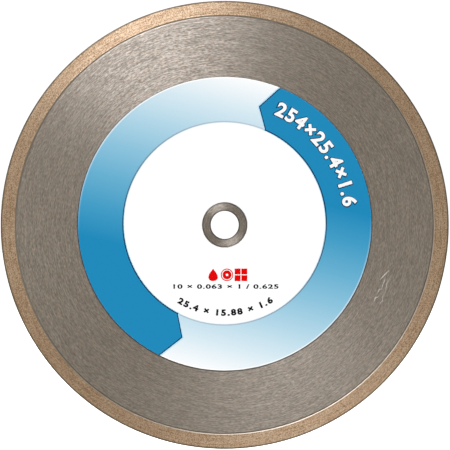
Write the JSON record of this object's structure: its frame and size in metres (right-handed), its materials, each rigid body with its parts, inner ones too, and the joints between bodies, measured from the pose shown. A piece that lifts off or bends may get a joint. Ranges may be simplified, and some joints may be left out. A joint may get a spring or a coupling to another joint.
{
  "type": "continuous-rim diamond blade",
  "caption": "Thin round steel blade with a continuous bronze-coloured diamond cutting rim, a loose reducer bush in the arbor bore and a round printed label on the front face.",
  "frame": {"origin": "centre of the arbor bore, on the middle plane of the steel core", "axes": "the blade stands upright in the XZ plane; the arbor axis is Y and the labelled front face looks along -Y; +Z is the top of the label"},
  "size_m": [0.254, 0.0016, 0.254],
  "materials": {
    "core_steel": "concentric ground steel",
    "bond_metal": "dull sintered bronze, no diamond",
    "rim_matrix": "ground sintered bronze with diamond grit",
    "bush_steel": "turned steel",
    "label_print": "coated white sheet printed in blue"
  },
  "bodies": {
    "blade": {"steel_core": "core_steel", "bond_ring": "bond_metal", "diamond_rim": "rim_matrix", "front_label": "label_print"},
    "bush": {"arbor_bush": "bush_steel"}
  },
  "joints": [
    {"name": "bush_slide", "type": "slide", "parent": "blade", "child": "bush", "axis": [0, -1, 0], "range_m": [0, 0.02]}
  ]
}
